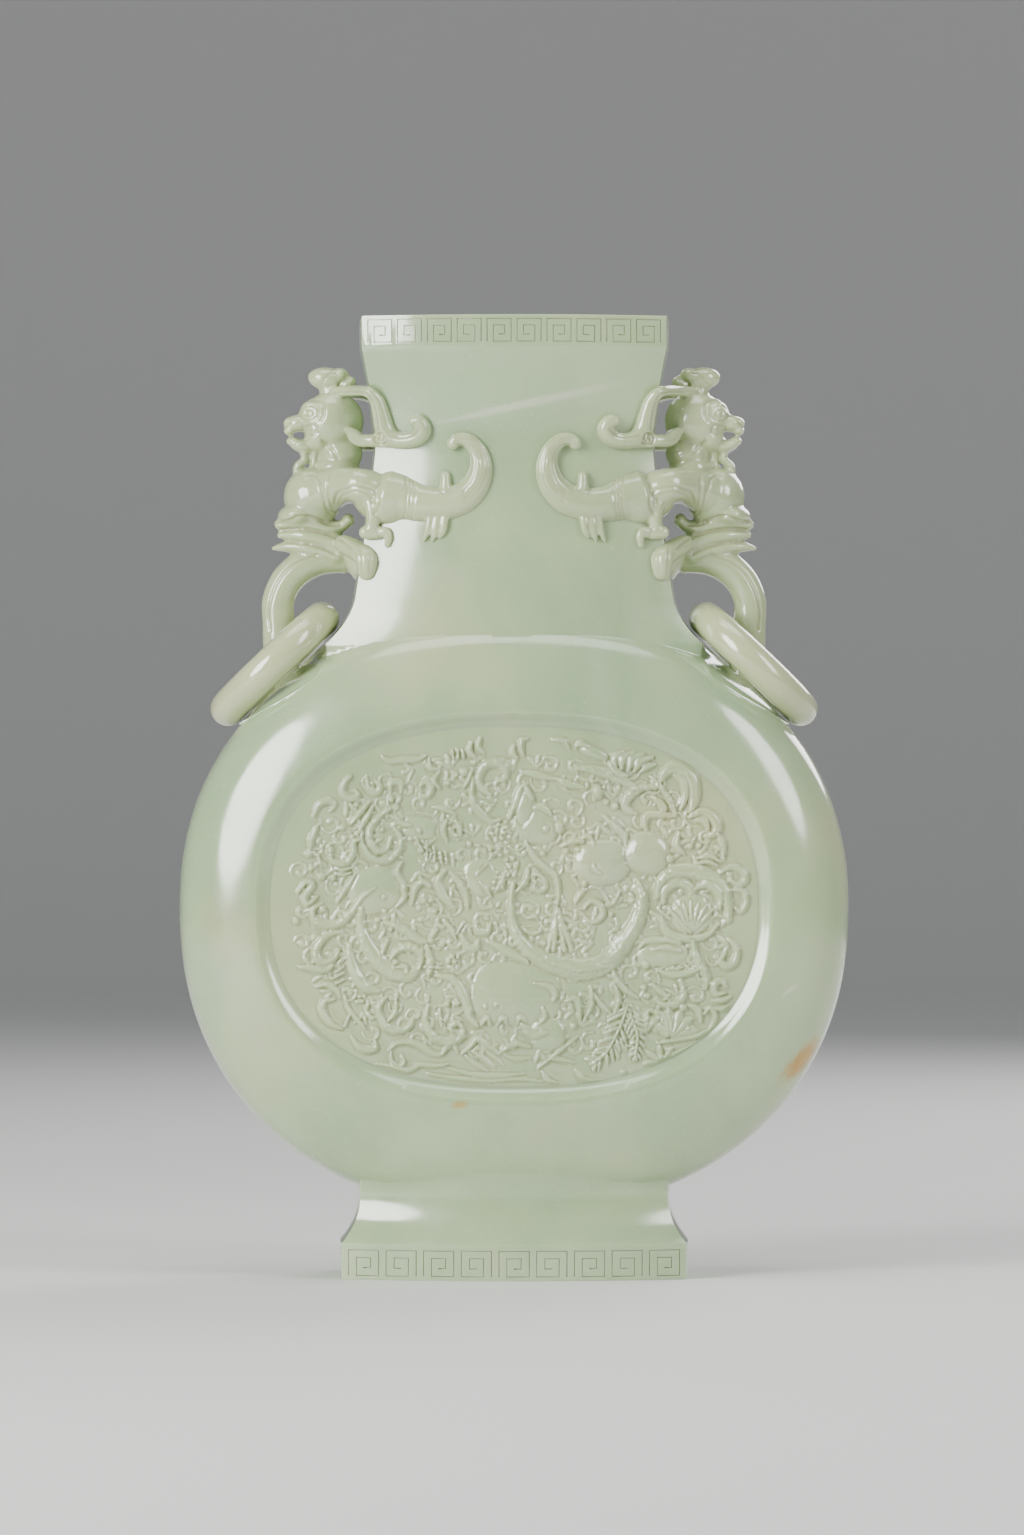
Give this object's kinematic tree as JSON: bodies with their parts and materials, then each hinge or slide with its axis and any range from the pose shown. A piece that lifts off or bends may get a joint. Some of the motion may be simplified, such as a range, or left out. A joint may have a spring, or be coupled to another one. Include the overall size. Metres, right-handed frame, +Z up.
{
  "type": "jade vase",
  "caption": "Flattened jade vase with a round body, an oval field of low relief on each broad side, and horned beast handles holding loose rings.",
  "frame": {"origin": "middle of the foot's underside", "axes": "+Z up, +X along the width through both handles, -Y towards the broad side that carries the full relief"},
  "size_m": [0.1888, 0.0626, 0.27],
  "materials": {
    "pale_jade": "polished pale green stone, slightly translucent",
    "cream_jade": "polished cream green stone, slightly translucent"
  },
  "bodies": {
    "root": {"vase": "pale_jade", "ring_left": "cream_jade", "ring_right": "cream_jade"}
  },
  "joints": []
}
